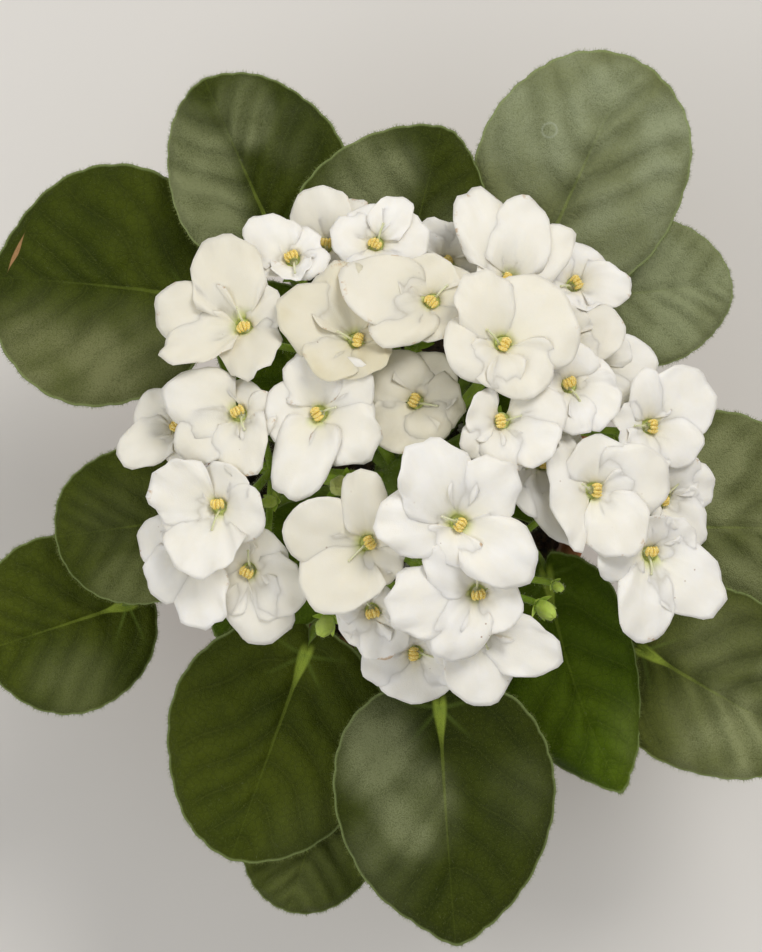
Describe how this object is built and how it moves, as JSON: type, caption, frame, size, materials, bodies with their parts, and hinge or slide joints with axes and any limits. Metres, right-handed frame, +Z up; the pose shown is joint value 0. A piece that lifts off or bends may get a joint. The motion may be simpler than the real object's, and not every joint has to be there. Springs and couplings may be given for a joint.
{
  "type": "potted african violet",
  "caption": "Flowering house plant with velvety green leaves and a dome of white blooms, in a plain round clay pot that stands on a table.",
  "frame": {"origin": "centre of the pot's flat foot, on the surface that it stands on", "axes": "+Z up, +X to the right and +Y towards the top of the picture, which looks straight down"},
  "size_m": [0.2317, 0.2366, 0.1707],
  "materials": {
    "terracotta": "matt unglazed clay",
    "potting_mix": "dark, damp and crumbly",
    "crown_green": "matt, scarred green stem",
    "leaf_green": "velvety dark green with pale hairs",
    "stalk_green": "hairy light green",
    "petal_white": "satin white petals with yellow anthers"
  },
  "bodies": {
    "root": {"pot": "terracotta", "soil": "potting_mix", "crown": "crown_green", "leaf_01": "leaf_green", "leaf_02": "leaf_green", "leaf_03": "leaf_green", "leaf_04": "leaf_green", "leaf_05": "leaf_green", "leaf_06": "leaf_green", "leaf_07": "leaf_green", "leaf_08": "leaf_green", "leaf_09": "leaf_green", "leaf_10": "leaf_green", "leaf_11": "leaf_green", "leaf_12": "leaf_green", "leaf_13": "leaf_green", "leaf_14": "leaf_green", "leaf_15": "leaf_green", "leaf_16": "leaf_green", "leaf_17": "leaf_green", "spray_1": "stalk_green", "spray_2": "stalk_green", "spray_3": "stalk_green", "spray_4": "stalk_green", "spray_5": "stalk_green", "spray_6": "stalk_green", "spray_7": "stalk_green", "bloom_01": "petal_white", "bloom_02": "petal_white", "bloom_03": "petal_white", "bloom_04": "petal_white", "bloom_05": "petal_white", "bloom_06": "petal_white", "bloom_07": "petal_white", "bloom_08": "petal_white", "bloom_09": "petal_white", "bloom_10": "petal_white", "bloom_11": "petal_white", "bloom_12": "petal_white", "bloom_13": "petal_white", "bloom_14": "petal_white", "bloom_15": "petal_white", "bloom_16": "petal_white", "bloom_17": "petal_white", "bloom_18": "petal_white", "bloom_19": "petal_white", "bloom_20": "petal_white", "bloom_21": "petal_white", "bloom_22": "petal_white", "bloom_23": "petal_white", "bloom_24": "petal_white", "bloom_25": "petal_white", "bloom_26": "petal_white", "bloom_27": "petal_white", "bloom_28": "petal_white", "bloom_29": "petal_white", "bloom_30": "petal_white", "bloom_31": "petal_white", "bloom_32": "petal_white"}
  },
  "joints": []
}
